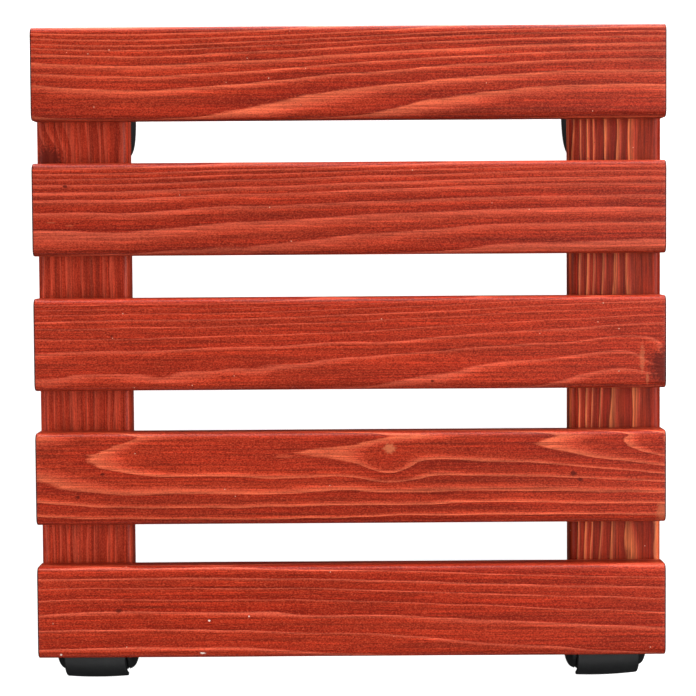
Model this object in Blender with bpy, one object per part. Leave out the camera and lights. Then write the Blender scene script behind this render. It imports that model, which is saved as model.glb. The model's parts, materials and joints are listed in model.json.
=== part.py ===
"""A square slatted plant trolley: five slats on two rails, on four twin-wheel swivel castors.

Metres, +Z up, with the floor at Z = 0. The slats run along X and the rails along Y. The origin is the
middle of the footprint, so the platform lies a little towards +Y: at rest all four castors trail towards
-Y, and the two front ones reach out past the front slat.
"""

import math

import bmesh
import bpy
from mathutils import Matrix, Vector

MM = 0.001

# Boards: every slat and rail is cut from one planed section, to one length.
BOARD_LENGTH = 300 * MM
BOARD_WIDTH = 44 * MM
BOARD_THICKNESS = 18 * MM
BOARD_EDGE_RADIUS = 3 * MM
BOARD_EDGE_SEGMENTS = 3
BOARD_END_CHAMFER = 0.8 * MM
SLAT_COUNT = 5
SLAT_PITCH = (BOARD_LENGTH - BOARD_WIDTH) / (SLAT_COUNT - 1)
RAIL_X = (BOARD_LENGTH - BOARD_WIDTH) / 2
TOUCHING_GAP = 0.3 * MM

# Castor, measured from the floor and from its swivel axis.
CASTOR_HEIGHT = 51 * MM
WHEEL_RADIUS = 20 * MM
TRAIL = 19 * MM
PLATE_SIDE = 38 * MM
PLATE_THICKNESS = 2 * MM
PLATE_CORNER_RADIUS = 5 * MM
PLATE_CORNER_SEGMENTS = 4
PLATE_HOLE_SPACING = 28 * MM
PLATE_HOLE_RADIUS = 2.2 * MM

# Castor hood: a curved shell round the axle, on a central web that carries the axle and the stem's socket.
HOOD_OUTER_RADIUS = 23.8 * MM
HOOD_INNER_RADIUS = 21.5 * MM
HOOD_HALF_WIDTH = 15.5 * MM
HOOD_BACK_ANGLE = math.radians(171)
HOOD_FRONT_ANGLE = math.radians(25)
HOOD_STEPS = 12
WEB_HALF_WIDTH = 5.5 * MM
WEB_FRONT_ANGLE = math.radians(40)
WEB_BACK_ANGLE = math.radians(165)
WEB_STEPS = 12
WEB_HUB_RADIUS = 8.5 * MM
WEB_HUB_START = math.radians(180)
WEB_HUB_END = math.radians(290)
WEB_HUB_STEPS = 6
SOCKET_RADIUS = 6 * MM
SOCKET_BOTTOM = 20.5 * MM
SOCKET_FLOOR = 23 * MM
BOSS_RADIUS = 8.5 * MM
BOSS_BOTTOM = 36.5 * MM
BOSS_TOP = 46.9 * MM

# Stem, pressed into the plate. The hood turns on it.
STEM_RADIUS = 4 * MM
STEM_NECK_RADIUS = 3.5 * MM
STEM_COLLAR_RADIUS = 6 * MM
STEM_COLLAR_THICKNESS = 1.5 * MM
STEM_BOTTOM = 23.5 * MM
STEM_GROOVE_Z = 27 * MM
STEM_GROOVE_DEPTH = 0.5 * MM

# Wheels and axle, measured along the axle from the castor's middle.
WHEEL_INNER_FACE = 6.5 * MM
WHEEL_TREAD_END = 15.5 * MM
WHEEL_DOME_HEIGHT = 4.8 * MM
WHEEL_DOME_POWER = 6
WHEEL_DOME_CROWDING = 0.6
WHEEL_DOME_STEPS = 5
WHEEL_EDGE_CHAMFER = 0.8 * MM
WHEEL_RECESS_FLOOR = 9 * MM
WHEEL_RECESS_RADIUS = 16.8 * MM
WHEEL_HUB_RADIUS = 6.6 * MM
WHEEL_BORE_RADIUS = 3.35 * MM
WHEEL_BORE_END = 19 * MM
WHEEL_FACETS = 24
AXLE_RADIUS = 3 * MM
AXLE_HALF_LENGTH = 18.6 * MM
AXLE_CHAMFER = 0.5 * MM

# Screws: countersunk ones hold the slats from beneath, and pan-head ones hold the castor plates.
SLAT_SCREW_LENGTH = 30 * MM
SLAT_SCREW_RADIUS = 2 * MM
SLAT_SCREW_HEAD_RADIUS = 4 * MM
SLAT_SCREW_HEAD_HEIGHT = 2.6 * MM
PLATE_SCREW_LENGTH = 16 * MM
PLATE_SCREW_RADIUS = 1.75 * MM
PLATE_SCREW_HEAD_RADIUS = 3.4 * MM
PLATE_SCREW_HEAD_FLAT = 0.7
PLATE_SCREW_HEAD_HEIGHT = 2 * MM
SCREW_TIP_LENGTH = 4 * MM
SCREW_FACETS = 8
HOLE_FACETS = 12
ROUND_FACETS = 16
SHARP_ANGLE = math.radians(35)

# Where each castor is screwed on, from the platform's middle, and how far it has swivelled. They are fitted
# by hand, so their places differ by a millimetre or so, and the two on the right have turned a little.
CASTORS = {
    "front_left": (-128.6 * MM, -129.3 * MM, 0),
    "front_right": (127.3 * MM, -129.7 * MM, math.radians(2.2)),
    "rear_left": (-128.2 * MM, 129 * MM, 0),
    "rear_right": (127.5 * MM, 129 * MM, math.radians(2.2)),
}

RAIL_BOTTOM = CASTOR_HEIGHT + TOUCHING_GAP
SLAT_BOTTOM = RAIL_BOTTOM + BOARD_THICKNESS + TOUCHING_GAP
PLATE_BOTTOM = CASTOR_HEIGHT - PLATE_THICKNESS
AXLE_CENTRE = Vector((0, -TRAIL, WHEEL_RADIUS))


def castor_reach(swivel_angle):
    """How far a castor reaches towards -Y from its swivel axis: its hood's furthest corner."""
    length = TRAIL - HOOD_OUTER_RADIUS * math.cos(HOOD_BACK_ANGLE)
    return length * math.cos(swivel_angle) + HOOD_HALF_WIDTH * math.sin(swivel_angle)


FRONT_REACH = max(castor_reach(angle) - y for x, y, angle in CASTORS.values())
PLATFORM_Y = (FRONT_REACH - BOARD_LENGTH / 2) / 2


def clear_scene():
    for obj in list(bpy.data.objects):
        bpy.data.objects.remove(obj)


def make_material(name, colour, roughness, metallic=0):
    material = bpy.data.materials.new(name)
    material.use_nodes = True
    shader = material.node_tree.nodes["Principled BSDF"]
    shader.inputs["Base Color"].default_value = (*colour, 1)
    shader.inputs["Roughness"].default_value = roughness
    shader.inputs["Metallic"].default_value = metallic
    return material


def add_object(name, mesh, material=None, location=(0, 0, 0), parent=None):
    obj = bpy.data.objects.new(name, mesh)
    bpy.context.scene.collection.objects.link(obj)
    obj.location = location
    obj.parent = parent
    if material and not mesh.materials:
        mesh.materials.append(material)
    return obj


def mesh_from(shape, name):
    """The bmesh as a new mesh, closed and facing out."""
    bmesh.ops.recalc_face_normals(shape, faces=shape.faces)
    mesh = bpy.data.meshes.new(name)
    shape.to_mesh(mesh)
    shape.free()
    return mesh


def smooth(mesh):
    mesh.shade_smooth()
    mesh.set_sharp_from_angle(angle=SHARP_ANGLE)
    return mesh


def turned(name, profile, facets):
    """A solid turned round Z. The profile's (radius, z) points start and end on the axis."""
    shape = bmesh.new()
    rings = []
    for radius, z in profile:
        if radius == 0:
            rings.append([shape.verts.new((0, 0, z))])
            continue
        ring = []
        for step in range(facets):
            angle = math.tau * (step + 0.5) / facets
            ring.append(shape.verts.new((radius * math.cos(angle), radius * math.sin(angle), z)))
        rings.append(ring)
    for lower, upper in zip(rings, rings[1:]):
        for step in range(facets):
            after = (step + 1) % facets
            corners = [lower[step % len(lower)], lower[after % len(lower)]]
            corners += [upper[after % len(upper)], upper[step % len(upper)]]
            shape.faces.new(dict.fromkeys(corners))
    return mesh_from(shape, name)


def cylinder(name, radius, bottom, top, facets):
    return turned(name, [(0, bottom), (radius, bottom), (radius, top), (0, top)], facets)


def prism_along_x(name, outline, half_width):
    """A solid with this outline of (y, z) points, from -half_width to half_width along X."""
    shape = bmesh.new()
    near = [shape.verts.new((-half_width, y, z)) for y, z in outline]
    cap = shape.faces.new(near)
    extruded = bmesh.ops.extrude_face_region(shape, geom=[cap])["geom"]
    far = [item for item in extruded if isinstance(item, bmesh.types.BMVert)]
    bmesh.ops.translate(shape, verts=far, vec=(2 * half_width, 0, 0))
    return mesh_from(shape, name)


def combine(target, tools, operation):
    """Cuts the tools from the target or joins them to it, and keeps the result as the target's mesh."""
    for tool in tools:
        modifier = target.modifiers.new(operation, "BOOLEAN")
        modifier.operation = operation
        modifier.solver = "EXACT"
        modifier.object = tool
    graph = bpy.context.evaluated_depsgraph_get()
    result = bpy.data.meshes.new_from_object(target.evaluated_get(graph))
    target.modifiers.clear()
    target.data = result
    for tool in tools:
        bpy.data.objects.remove(tool)


def arc_points(centre, radius, start, end, steps):
    """(y, z) points on an arc, with angles counted from +Y towards +Z."""
    points = []
    for step in range(steps + 1):
        angle = start + (end - start) * step / steps
        points.append((centre[0] + radius * math.cos(angle), centre[1] + radius * math.sin(angle)))
    return points


def box_shape(size):
    shape = bmesh.new()
    bmesh.ops.create_cube(shape, size=1, matrix=Matrix.Diagonal((*size, 1)))
    return shape


def ease(shape, edges, offset, segments):
    """Rounds these edges of the bmesh, or chamfers them when there is one segment."""
    bmesh.ops.bevel(shape, geom=edges, offset=offset, segments=segments, profile=0.5, affect="EDGES")


def edges_along(shape, axis):
    """The edges of a box that run along this axis: 0 for X, 1 for Y or 2 for Z."""
    return [edge for edge in shape.edges if abs((edge.verts[0].co - edge.verts[1].co)[axis]) > 0]


def board_mesh(name):
    """One planed board along X, centred on its own middle, with rounded long edges and eased ends."""
    shape = box_shape((BOARD_LENGTH, BOARD_WIDTH, BOARD_THICKNESS))
    ease(shape, edges_along(shape, 0), BOARD_EDGE_RADIUS, BOARD_EDGE_SEGMENTS)
    end_faces = [face for face in shape.faces if abs(face.normal.x) > 0.9]
    end_edges = {edge for face in end_faces for edge in face.edges}
    ease(shape, list(end_edges), BOARD_END_CHAMFER, 1)
    return mesh_from(shape, name)


def make_slats(wood):
    slats = {}
    for index in range(SLAT_COUNT):
        name = f"slat_{index + 1}"
        y = PLATFORM_Y + BOARD_LENGTH / 2 - BOARD_WIDTH / 2 - index * SLAT_PITCH
        slats[name] = add_object(name, board_mesh(name), wood, (0, y, SLAT_BOTTOM + BOARD_THICKNESS / 2))
    return slats


def make_rails(wood):
    rails = {}
    for name, x in (("rail_left", -RAIL_X), ("rail_right", RAIL_X)):
        rail = add_object(name, board_mesh(name), wood, (x, PLATFORM_Y, RAIL_BOTTOM + BOARD_THICKNESS / 2))
        rail.rotation_euler.z = math.pi / 2
        rails[name] = rail
    return rails


def slat_screw_profile(clearance):
    """A countersunk wood screw, head down. A clearance makes it the hole for that screw, open at its foot."""
    foot = RAIL_BOTTOM + TOUCHING_GAP
    shank = SLAT_SCREW_RADIUS + clearance
    head = SLAT_SCREW_HEAD_RADIUS + clearance
    profile = [(0, foot - 2 * clearance)]
    if clearance:
        profile.append((head, foot - 2 * clearance))
    return profile + [
        (head, foot),
        (shank, foot + SLAT_SCREW_HEAD_HEIGHT),
        (shank, foot + SLAT_SCREW_LENGTH - SCREW_TIP_LENGTH),
        (0, foot + SLAT_SCREW_LENGTH + clearance),
    ]


def plate_screw_profile():
    """A pan-head wood screw, head down, under the castor plate."""
    seat = PLATE_BOTTOM - TOUCHING_GAP
    head_bottom = seat - PLATE_SCREW_HEAD_HEIGHT
    return [
        (0, head_bottom),
        (PLATE_SCREW_HEAD_RADIUS * PLATE_SCREW_HEAD_FLAT, head_bottom),
        (PLATE_SCREW_HEAD_RADIUS, head_bottom + PLATE_SCREW_HEAD_HEIGHT / 2),
        (PLATE_SCREW_HEAD_RADIUS, seat),
        (PLATE_SCREW_RADIUS, seat),
        (PLATE_SCREW_RADIUS, seat + PLATE_SCREW_LENGTH - SCREW_TIP_LENGTH),
        (0, seat + PLATE_SCREW_LENGTH),
    ]


def plate_screw_places(castor_x, castor_y):
    half = PLATE_HOLE_SPACING / 2
    corners = {"a": (-half, half), "b": (half, half), "c": (half, -half), "d": (-half, -half)}
    for letter, (dx, dy) in corners.items():
        yield letter, castor_x + dx, PLATFORM_Y + castor_y + dy


def screw_the_slats(slats, rails, steel):
    """One screw through each rail into each slat, and the holes for them in both."""
    screw = smooth(turned("slat_screw", slat_screw_profile(0), SCREW_FACETS))
    hole = turned("slat_screw_hole", slat_screw_profile(TOUCHING_GAP), HOLE_FACETS)
    for rail_name, rail in rails.items():
        side = rail_name.split("_")[1]
        rail_cutters = []
        for slat_name, slat in slats.items():
            number = slat_name.split("_")[1]
            place = (rail.location.x, slat.location.y, 0)
            add_object(f"slat_screw_{number}_{side}", screw, steel, place)
            combine(slat, [add_object("hole_in_slat", hole, None, place)], "DIFFERENCE")
            rail_cutters.append(add_object("hole_in_rail", hole, None, place))
        combine(rail, rail_cutters, "DIFFERENCE")


def screw_the_plates(rails, steel):
    """Four screws for each castor plate, and their pilot holes in the rail."""
    screw = smooth(turned("plate_screw", plate_screw_profile(), SCREW_FACETS))
    pilot_top = PLATE_BOTTOM + PLATE_SCREW_LENGTH + TOUCHING_GAP
    pilot = cylinder("pilot", PLATE_SCREW_RADIUS + TOUCHING_GAP, PLATE_BOTTOM, pilot_top, SCREW_FACETS)
    cutters = {"rail_left": [], "rail_right": []}
    for castor_name, (castor_x, castor_y, _) in CASTORS.items():
        rail_name = "rail_" + castor_name.split("_")[1]
        for letter, x, y in plate_screw_places(castor_x, castor_y):
            add_object(f"plate_screw_{castor_name}_{letter}", screw, steel, (x, y, 0))
            cutters[rail_name].append(add_object("pilot_in_rail", pilot, None, (x, y, 0)))
    for rail_name, tools in cutters.items():
        combine(rails[rail_name], tools, "DIFFERENCE")


def plate_mesh():
    """The castor's square steel plate, round at its corners, with four screw holes and the stem's hole."""
    shape = box_shape((PLATE_SIDE, PLATE_SIDE, PLATE_THICKNESS))
    ease(shape, edges_along(shape, 2), PLATE_CORNER_RADIUS, PLATE_CORNER_SEGMENTS)
    bmesh.ops.translate(shape, verts=shape.verts, vec=(0, 0, PLATE_BOTTOM + PLATE_THICKNESS / 2))
    plate = add_object("plate_blank", mesh_from(shape, "castor_plate"))
    low, high = PLATE_BOTTOM - PLATE_THICKNESS, CASTOR_HEIGHT + PLATE_THICKNESS
    screw_hole = cylinder("screw_hole", PLATE_HOLE_RADIUS, low, high, HOLE_FACETS)
    stem_hole = cylinder("stem_hole", STEM_NECK_RADIUS + TOUCHING_GAP, low, high, ROUND_FACETS)
    cutters = [add_object("cut_stem_hole", stem_hole)]
    for sx in (-1, 1):
        for sy in (-1, 1):
            place = (sx * PLATE_HOLE_SPACING / 2, sy * PLATE_HOLE_SPACING / 2, 0)
            cutters.append(add_object("cut_screw_hole", screw_hole, None, place))
    combine(plate, cutters, "DIFFERENCE")
    mesh = plate.data
    bpy.data.objects.remove(plate)
    return mesh


def stem_mesh():
    """The pin that the castor swivels on: a neck in the plate, a collar, and a shank with a snap groove."""
    collar_top = PLATE_BOTTOM - TOUCHING_GAP
    collar_bottom = collar_top - STEM_COLLAR_THICKNESS
    groove = STEM_RADIUS - STEM_GROOVE_DEPTH
    profile = [
        (0, STEM_BOTTOM),
        (groove, STEM_BOTTOM),
        (STEM_RADIUS, STEM_BOTTOM + STEM_GROOVE_DEPTH),
        (STEM_RADIUS, STEM_GROOVE_Z - STEM_GROOVE_DEPTH),
        (groove, STEM_GROOVE_Z),
        (STEM_RADIUS, STEM_GROOVE_Z + STEM_GROOVE_DEPTH),
        (STEM_RADIUS, collar_bottom),
        (STEM_COLLAR_RADIUS, collar_bottom),
        (STEM_COLLAR_RADIUS, collar_top),
        (STEM_NECK_RADIUS, collar_top),
        (STEM_NECK_RADIUS, CASTOR_HEIGHT - TOUCHING_GAP),
        (0, CASTOR_HEIGHT - TOUCHING_GAP),
    ]
    return smooth(turned("castor_stem", profile, ROUND_FACETS))


def hood_mesh():
    """The castor's body: a shell over both wheels, with its web, hub, stem socket and boss."""
    axle = (AXLE_CENTRE.y, AXLE_CENTRE.z)
    outer = arc_points(axle, HOOD_OUTER_RADIUS, HOOD_FRONT_ANGLE, HOOD_BACK_ANGLE, HOOD_STEPS)
    inner = arc_points(axle, HOOD_INNER_RADIUS, HOOD_BACK_ANGLE, HOOD_FRONT_ANGLE, HOOD_STEPS)
    shell = add_object("hood_shell", prism_along_x("castor_hood", outer + inner, HOOD_HALF_WIDTH))

    middle = (HOOD_OUTER_RADIUS + HOOD_INNER_RADIUS) / 2
    web_outline = arc_points(axle, middle, WEB_FRONT_ANGLE, WEB_BACK_ANGLE, WEB_STEPS)
    web_outline += arc_points(axle, WEB_HUB_RADIUS, WEB_HUB_START, WEB_HUB_END, WEB_HUB_STEPS)
    web_outline += [(0, SOCKET_BOTTOM), (SOCKET_RADIUS / 2, SOCKET_FLOOR)]
    web = prism_along_x("web", web_outline, WEB_HALF_WIDTH)
    socket = cylinder("socket", SOCKET_RADIUS, SOCKET_BOTTOM, BOSS_TOP - STEM_COLLAR_THICKNESS, ROUND_FACETS)
    boss = cylinder("boss", BOSS_RADIUS, BOSS_BOTTOM, BOSS_TOP, ROUND_FACETS)
    combine(shell, [add_object("join", part) for part in (web, socket, boss)], "UNION")

    stem_bore = cylinder("stem_bore", STEM_RADIUS + TOUCHING_GAP, SOCKET_FLOOR, 2 * BOSS_TOP, ROUND_FACETS)
    axle_bore = cylinder("axle_bore", AXLE_RADIUS + TOUCHING_GAP, -BOSS_TOP, BOSS_TOP, ROUND_FACETS)
    axle_cutter = add_object("cut_axle_bore", axle_bore, None, AXLE_CENTRE)
    axle_cutter.rotation_euler.y = math.pi / 2
    combine(shell, [add_object("cut_stem_bore", stem_bore), axle_cutter], "DIFFERENCE")
    mesh = smooth(shell.data)
    bpy.data.objects.remove(shell)
    return mesh


def wheel_mesh():
    """One disc of the twin wheel, turned round X about its own centre, with its domed face towards +X."""
    to_corner = 1 / math.cos(math.pi / WHEEL_FACETS)
    profile = []
    for step in range(WHEEL_DOME_STEPS + 1):
        share = math.sin(math.pi / 2 * step / WHEEL_DOME_STEPS) ** WHEEL_DOME_CROWDING
        height = WHEEL_DOME_HEIGHT * math.sqrt(max(0, 1 - share**WHEEL_DOME_POWER))
        profile.append((share * WHEEL_RADIUS * to_corner, WHEEL_TREAD_END + height))
    profile += [
        (WHEEL_RADIUS * to_corner, WHEEL_INNER_FACE + WHEEL_EDGE_CHAMFER),
        (WHEEL_RADIUS * to_corner - WHEEL_EDGE_CHAMFER, WHEEL_INNER_FACE),
        (WHEEL_RECESS_RADIUS, WHEEL_INNER_FACE),
        (WHEEL_RECESS_RADIUS - 2 * WHEEL_EDGE_CHAMFER, WHEEL_RECESS_FLOOR),
        (WHEEL_HUB_RADIUS, WHEEL_RECESS_FLOOR),
        (WHEEL_HUB_RADIUS, WHEEL_INNER_FACE),
        (WHEEL_BORE_RADIUS, WHEEL_INNER_FACE),
        (WHEEL_BORE_RADIUS, WHEEL_BORE_END),
        (0, WHEEL_BORE_END),
    ]
    mesh = turned("castor_wheel", profile, WHEEL_FACETS)
    mesh.transform(Matrix.Rotation(math.pi / 2, 4, "Y"))
    return smooth(mesh)


def axle_mesh():
    inner = AXLE_RADIUS - AXLE_CHAMFER
    profile = [
        (0, -AXLE_HALF_LENGTH),
        (inner, -AXLE_HALF_LENGTH),
        (AXLE_RADIUS, AXLE_CHAMFER - AXLE_HALF_LENGTH),
        (AXLE_RADIUS, AXLE_HALF_LENGTH - AXLE_CHAMFER),
        (inner, AXLE_HALF_LENGTH),
        (0, AXLE_HALF_LENGTH),
    ]
    mesh = turned("castor_axle", profile, ROUND_FACETS)
    mesh.transform(Matrix.Rotation(math.pi / 2, 4, "Y"))
    return smooth(mesh)


def make_castors(hood_plastic, wheel_plastic, steel):
    """Plate and stem belong to the platform. Hood and axle swivel with an empty on the stem's axis."""
    plate, stem, hood, wheel, axle = plate_mesh(), stem_mesh(), hood_mesh(), wheel_mesh(), axle_mesh()
    for name, (x, y, swivel_angle) in CASTORS.items():
        place = (x, PLATFORM_Y + y, 0)
        add_object(f"castor_{name}_plate", plate, steel, place)
        add_object(f"castor_{name}_stem", stem, steel, place)
        swivel = bpy.data.objects.new(f"castor_{name}_swivel_axis", None)
        bpy.context.scene.collection.objects.link(swivel)
        swivel.location = place
        swivel.rotation_euler.z = swivel_angle
        add_object(f"castor_{name}_hood", hood, hood_plastic, parent=swivel)
        add_object(f"castor_{name}_axle", axle, steel, AXLE_CENTRE, swivel)
        add_object(f"castor_{name}_wheel_right", wheel, wheel_plastic, AXLE_CENTRE, swivel)
        left = add_object(f"castor_{name}_wheel_left", wheel, wheel_plastic, AXLE_CENTRE, swivel)
        left.rotation_euler.z = math.pi


def main():
    clear_scene()
    wood = make_material("stained_wood", (0.48, 0.045, 0.02), 0.5)
    hood_plastic = make_material("hood_plastic", (0.014, 0.014, 0.015), 0.45)
    wheel_plastic = make_material("wheel_plastic", (0.02, 0.02, 0.021), 0.38)
    steel = make_material("zinc_steel", (0.55, 0.55, 0.53), 0.35, 1)
    slats = make_slats(wood)
    rails = make_rails(wood)
    screw_the_slats(slats, rails, steel)
    screw_the_plates(rails, steel)
    make_castors(hood_plastic, wheel_plastic, steel)


main()
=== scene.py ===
"""The looks of a slatted plant trolley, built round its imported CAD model.

Metres, +Z up, in the frame of the CAD. Five stained softwood slats lie across two rails on four
twin-wheel castors. Each board is a lofted mesh that carries its own growth rings, which the wood material
reads, and the castors and screws are modelled again with fine edges, ribs, threads and driver recesses.
"""

import json
import math
from dataclasses import dataclass

import bmesh
import bpy
import numpy as np
from mathutils import Matrix, Vector, noise


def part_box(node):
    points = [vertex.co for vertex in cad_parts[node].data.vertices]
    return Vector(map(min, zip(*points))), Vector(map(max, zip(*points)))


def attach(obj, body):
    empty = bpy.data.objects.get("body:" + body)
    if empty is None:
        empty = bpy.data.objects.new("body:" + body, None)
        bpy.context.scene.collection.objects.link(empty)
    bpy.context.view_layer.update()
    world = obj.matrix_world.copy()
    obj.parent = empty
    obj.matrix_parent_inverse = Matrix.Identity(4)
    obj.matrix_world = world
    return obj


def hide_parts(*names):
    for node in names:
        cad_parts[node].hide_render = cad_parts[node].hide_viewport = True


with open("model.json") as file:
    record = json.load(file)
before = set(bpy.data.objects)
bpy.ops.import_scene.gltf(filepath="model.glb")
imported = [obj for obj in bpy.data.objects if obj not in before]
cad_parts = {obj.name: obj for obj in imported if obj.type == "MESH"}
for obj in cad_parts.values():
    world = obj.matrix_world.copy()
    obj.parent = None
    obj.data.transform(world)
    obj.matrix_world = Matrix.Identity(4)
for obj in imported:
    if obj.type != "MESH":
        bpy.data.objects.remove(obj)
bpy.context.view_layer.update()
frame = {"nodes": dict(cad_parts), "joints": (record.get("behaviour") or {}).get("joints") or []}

MM = 0.001
CASTOR_NAMES = ("front_left", "front_right", "rear_left", "rear_right")
PLATFORM = "platform"

# Camera, from the middle slat's centre and from the floor.
CAMERA_OFFSET = (-1.0 * MM, 50.4 * MM)
CAMERA_HEIGHT = 1.0979
CAMERA_TURN_DEGREES = (-2.977, -0.02, -0.363)
CAMERA_LENS = 110.41
CAMERA_SENSOR = 36

# Board mesh. Segments run round the section: over the top, down each side, and under the bottom.
EDGE_RADIUS = 3 * MM
END_RADIUS = 0.9 * MM
ROW_SPACING = 1.5 * MM
TOP_SEGMENTS = 34
SIDE_SEGMENTS = 8
CORNER_SEGMENTS = 5
BOTTOM_SEGMENTS = 18
END_ROWS = 4
CAP_LOOPS = 14
SURFACE_WAVE = 0.08 * MM


@dataclass
class Plank:
    """How one board was sawn from its tree, in millimetres. X runs along the board, Y across it, Z up.

    A spot is (x, y, radius along, radius across)."""

    pith_across: tuple  # where the tree's middle lies across the board, at the board's left and right ends
    pith_depths: tuple  # how far below the top face it runs, at four places from left to right
    first_ring: float  # radius of the innermost growth ring
    ring_widths: tuple  # widths of the rings outside it, going outward
    late_share: float = 0.6  # how much of each ring is pale late wood
    wobble: float = 0.13  # how far the rings wander, in rings
    swellings: tuple = ()  # local bulges of the rings: (x, y, radius along, radius across, rings)
    knots: tuple = ()  # dark spots
    chips: tuple = ()  # pale spots where the stain is gone
    scuffs: tuple = ()  # spots where it is rubbed thin
    contrast: float = 0.9  # how strongly the rings show, from 0 to 1
    speckle: float = 1.0  # how strongly the pores and pale flecks show
    tone: float = 1.0  # how bright the stain came out
    warmth: float = 0.0  # how orange the late wood came out, from 0 to 1
    seed: float = 0.0


PLANKS = {
    "slat_1": Plank(
        pith_across=(-21, -21),
        pith_depths=(30, 29.8, 23.8, 21),
        first_ring=19.8,
        ring_widths=(5.8, 4.2, 4.1, 2.9, 3.1, 2.8, 1.9, 1.6, 2.0),
        late_share=0.5,
        swellings=((-10, -24, 80, 8, -0.3),),
        contrast=0.85,
        tone=0.895,
        warmth=0.2,
        seed=11,
    ),
    "slat_2": Plank(
        pith_across=(-24, -24),
        pith_depths=(30, 27.9, 23.8, 22.5),
        first_ring=24,
        ring_widths=(4.1, 4.8, 4.5, 4.3, 2.5, 2.6, 2.0),
        swellings=((-90, -24, 50, 8, -0.32),),
        knots=((-134, 11, 1.2, 0.8),),
        scuffs=((-141, -6, 2.5, 0.3), (-132, -7.5, 2, 0.3)),
        contrast=0.78,
        tone=0.84,
        seed=23,
    ),
    "slat_3": Plank(
        pith_across=(-24, -24),
        pith_depths=(30, 28.8, 23.8, 14.5),
        first_ring=26.2,
        ring_widths=(5.3, 5.1, 3.6, 3.6, 2.6, 2.2, 1.9),
        late_share=0.25,
        wobble=0.2,
        swellings=((152, -8, 13, 9, 1.6),),
        knots=((150, -12, 9, 10), (39, -18, 0.8, 0.7), (-113, 4, 0.6, 0.5)),
        scuffs=((138.5, -8, 1.2, 7), (141, -17.5, 0.7, 3)),
        contrast=0.7,
        tone=0.95,
        seed=37,
    ),
    "slat_4": Plank(
        pith_across=(10, 17),
        pith_depths=(29.4, 24.6, 23.6, 18.4),
        first_ring=18.6,
        ring_widths=(1.6, 2.1, 2.1, 2.9, 4.5, 4.2, 4.3, 4.3),
        late_share=0.42,
        wobble=0.22,
        swellings=((18, 5, 12, 8, -0.75),),
        knots=((106, 1.5, 1.6, 1.2), (109, -1.5, 1.3, 1), (-118, 2.5, 1.1, 0.8), (-130, -8.5, 1.1, 1)),
        scuffs=((18.5, 14, 3, 2.6), (18.5, 14, 2.6, 2.3), (148, -17, 3, 5)),
        contrast=0.82,
        tone=0.94,
        warmth=0.25,
        seed=41,
    ),
    "slat_5": Plank(
        pith_across=(-34, -34),
        pith_depths=(20.4, 20.2, 25.4, 30.2),
        first_ring=26.4,
        ring_widths=(6.1, 7.2, 5.2, 5.0, 4.3, 4.1),
        late_share=0.22,
        knots=((-111, 1, 1.6, 1.1),),
        chips=((-71, -19.6, 1.3, 0.5), (-68, -4, 0.5, 0.4), (-49, -2, 0.4, 0.4), (-139, -20, 0.6, 0.5)),
        tone=1.035,
        seed=53,
    ),
    "rail_left": Plank(
        pith_across=(-50, -46),
        pith_depths=(24, 26, 25, 22),
        first_ring=38,
        ring_widths=(5.5, 2.4, 6.0, 3.0, 7.0, 2.6, 4.0, 3.0),
        wobble=0.45,
        knots=((87, 16, 9, 7),),
        swellings=((89, 14, 11, 10, 1.6),),
        contrast=0.45,
        speckle=0.6,
        tone=1.06,
        seed=67,
    ),
    "rail_right": Plank(
        pith_across=(-28, -28),
        pith_depths=(21, 22.5, 24, 23),
        first_ring=22,
        ring_widths=(10.3, 5.2, 4.0, 4.0, 2.9, 3.1, 3.0),
        late_share=0.45,
        wobble=0.4,
        contrast=1.0,
        speckle=0.25,
        tone=0.97,
        warmth=0.9,
        seed=79,
    ),
}
RAILS = ("rail_left", "rail_right")

# Screws, from the foot of their heads.
THREAD_PITCH = 1.8 * MM
THREAD_DEPTH = 0.45 * MM
SCREW_TIP = 4 * MM
SCREW_FACETS = 32
COUNTERSINK_DEPTH = 2.6 * MM
COUNTERSINK_GAP = 0.3 * MM
RECESS_DEPTH = 1.5 * MM
RECESS_HALF_WIDTH = 0.34 * MM
PAN_HEAD_HEIGHT = 2 * MM
PAN_SHANK_RADIUS = 1.75 * MM

# Castor, from its swivel axis and the floor. X is along the axle.
CASTOR_HEIGHT = 51 * MM
TRAIL = 19 * MM
WHEEL_RADIUS = 20 * MM
WHEEL_INNER_FACE = 6.5 * MM
WHEEL_DOME_FOOT = 15.5 * MM
WHEEL_DOME_HEIGHT = 4.8 * MM
WHEEL_DOME_RIM = 16.2 * MM
WHEEL_DOME_STEPS = 30
WHEEL_WEB_FACE = 13.5 * MM
WHEEL_HUB_RADIUS = 6.6 * MM
WHEEL_BORE_RADIUS = 3.35 * MM
WHEEL_BORE_END = 19 * MM
WHEEL_RIBS = 8
RIB_MIDDLE_RADIUS = 11.3 * MM
RIB_HALF_LENGTH = 5 * MM
AXLE_Z = WHEEL_RADIUS
AXLE_RADIUS = 3 * MM
AXLE_BORE_RADIUS = 3.3 * MM
AXLE_HALF_LENGTH = 18.6 * MM
HOOD_OUTER_RADIUS = 23.8 * MM
HOOD_INNER_RADIUS = 21.5 * MM
HOOD_CROWN = 0.6 * MM
HOOD_HALF_WIDTH = 15.5 * MM
HOOD_LIP = 0.7 * MM
HOOD_FRONT_DEGREES = 25
HOOD_BACK_DEGREES = 171
HOOD_STEPS = 40
WEB_HALF_WIDTH = 5.5 * MM
WEB_HUB_RADIUS = 8.5 * MM
SOCKET_RADIUS = 6 * MM
SOCKET_BOTTOM = 20.5 * MM
SOCKET_TOP = 45.4 * MM
BOSS_RADIUS = 8.5 * MM
BOSS_BOTTOM = 36.5 * MM
BOSS_TOP = 46.9 * MM
STEM_RADIUS = 4 * MM
STEM_BORE_GAP = 0.3 * MM
STEM_BORE_BOTTOM = 23 * MM
STEM_BOTTOM = 23.5 * MM
STEM_TOP = 50.7 * MM
STEM_NECK_RADIUS = 3.5 * MM
STEM_GROOVE_Z = 27 * MM
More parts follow.
